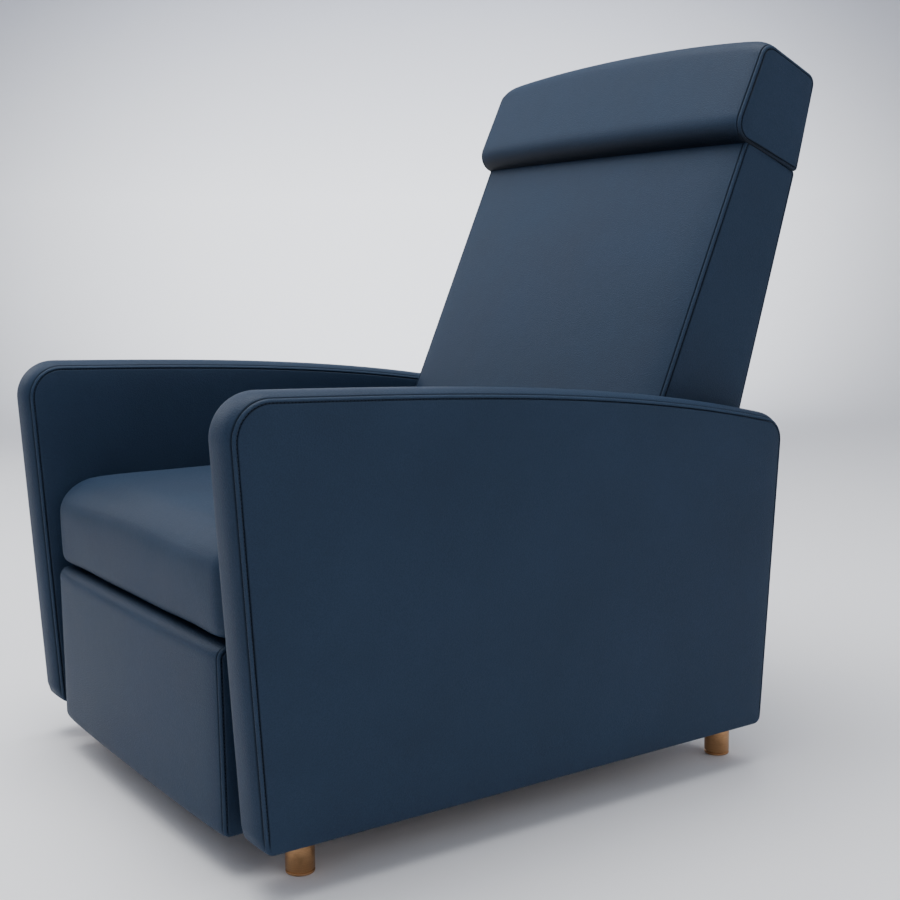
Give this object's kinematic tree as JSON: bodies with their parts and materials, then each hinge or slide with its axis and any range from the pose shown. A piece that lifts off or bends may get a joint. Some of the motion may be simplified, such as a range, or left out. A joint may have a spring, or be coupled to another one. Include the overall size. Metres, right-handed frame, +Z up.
{
  "type": "patient recliner chair",
  "caption": "Upholstered patient recliner with solid side arms on round metal feet, reclining wedge back with a headrest roll, rolling seat carriage and fold-out legrest.",
  "frame": {"origin": "on the floor, below the middle of the chair's bounding box", "axes": "+Z up; the chair faces -Y; +X is the sitter's left, and the chair is the same on both sides of X = 0"},
  "size_m": [0.79, 1.0176, 1.0742],
  "materials": {
    "upholstery": "satin",
    "plywood": "matte",
    "zinc_steel": "satin",
    "black_steel": "satin",
    "bronze": "satin",
    "nylon": "satin",
    "dust_cloth": "matte"
  },
  "bodies": {
    "root": {"arm_band_left": "upholstery", "arm_band_right": "upholstery", "arm_frame_left": "plywood", "arm_frame_right": "plywood", "arm_inner_panel_left": "upholstery", "arm_inner_panel_right": "upholstery", "arm_outer_panel_left": "upholstery", "arm_outer_panel_right": "upholstery", "base_front_rail": "plywood", "base_rear_rail": "plywood", "base_side_rail_left": "plywood", "base_side_rail_right": "plywood", "dust_cover": "dust_cloth", "foot_front_left": "bronze", "foot_front_right": "bronze", "foot_rear_left": "bronze", "foot_rear_right": "bronze", "rear_apron": "upholstery", "track_channel_left": "zinc_steel", "track_channel_right": "zinc_steel"},
    "seat": {"back_pivot_bolt_left": "zinc_steel", "back_pivot_bolt_right": "zinc_steel", "roller_axle_front": "zinc_steel", "roller_axle_rear": "zinc_steel", "seat_cushion": "upholstery", "seat_front_rail": "upholstery", "seat_plate_left": "black_steel", "seat_plate_right": "black_steel", "seat_rear_rail": "plywood", "seat_webbing": "dust_cloth"},
    "front_rollers": {"roller_front_left": "nylon", "roller_front_right": "nylon"},
    "rear_rollers": {"roller_rear_left": "nylon", "roller_rear_right": "nylon"},
    "back": {"back_bottom_rail": "plywood", "back_cushion": "upholstery", "back_hinge_plate_left": "black_steel", "back_hinge_plate_right": "black_steel", "back_post_left": "plywood", "back_post_right": "plywood", "back_rear_panel": "upholstery", "back_side_panel_left": "upholstery", "back_side_panel_right": "upholstery", "back_skirt": "upholstery", "back_top_rail": "plywood", "headrest_bolster": "upholstery"},
    "legrest_rear": {"legrest_cross_tube": "black_steel", "legrest_rear_link_left": "black_steel", "legrest_rear_link_right": "black_steel"},
    "legrest_front": {"legrest_front_link_left": "black_steel", "legrest_front_link_right": "black_steel"},
    "legrest_control": {"legrest_control_link_left": "black_steel", "legrest_control_link_right": "black_steel"},
    "legrest_guide": {"legrest_guide_link_left": "black_steel", "legrest_guide_link_right": "black_steel"},
    "ottoman": {"ottoman_board": "plywood", "ottoman_bracket_left": "black_steel", "ottoman_bracket_right": "black_steel", "ottoman_pad": "upholstery"}
  },
  "joints": [
    {"name": "seat_glide", "type": "slide", "parent": "root", "child": "seat", "axis": [0, -1, 0], "range_m": [0, 0.07]},
    {"name": "back_recline", "type": "hinge", "parent": "seat", "child": "back", "pos_m": [0, 0.2, 0.3], "axis": [-1, 0, 0], "range_deg": [0, 40]},
    {"name": "front_rollers_spin", "type": "hinge", "parent": "seat", "child": "front_rollers", "pos_m": [0, -0.2, 0.2235], "axis": [1, 0, 0], "range_deg": [0, 290]},
    {"name": "rear_rollers_spin", "type": "hinge", "parent": "seat", "child": "rear_rollers", "pos_m": [0, 0.12, 0.2235], "axis": [1, 0, 0], "range_deg": [0, 290]},
    {"name": "legrest_extend", "type": "hinge", "parent": "seat", "child": "legrest_rear", "pos_m": [0, -0.385, 0.22], "axis": [-1, 0, 0], "range_deg": [0, 75]},
    {"name": "legrest_front_fold", "type": "hinge", "parent": "legrest_rear", "child": "legrest_front", "pos_m": [0, -0.40389, 0.06616], "axis": [-1, 0, 0], "range_deg": [-150, 0]},
    {"name": "legrest_control_fold", "type": "hinge", "parent": "legrest_rear", "child": "legrest_control", "pos_m": [0, -0.38628, 0.10973], "axis": [-1, 0, 0], "range_deg": [-150, 0]},
    {"name": "legrest_guide_swing", "type": "hinge", "parent": "seat", "child": "legrest_guide", "pos_m": [0, -0.327, 0.255], "axis": [-1, 0, 0], "range_deg": [0, 64]},
    {"name": "ottoman_tilt", "type": "hinge", "parent": "legrest_front", "child": "ottoman", "pos_m": [0, -0.385, 0.22], "axis": [-1, 0, 0], "range_deg": [0, 150]}
  ],
  "couplings": [
    {"joint": "seat_glide", "follows": "back_recline", "m_per_rad": 0.1},
    {"joint": "front_rollers_spin", "follows": "back_recline", "ratio": 7.1429},
    {"joint": "rear_rollers_spin", "follows": "back_recline", "ratio": 7.1429},
    {"joint": "legrest_front_fold", "follows": "legrest_extend", "ratio": -2},
    {"joint": "legrest_control_fold", "follows": "legrest_extend", "ratio": -2},
    {"joint": "legrest_guide_swing", "follows": "legrest_extend", "ratio": 0.8434},
    {"joint": "ottoman_tilt", "follows": "legrest_extend", "ratio": 2}
  ]
}
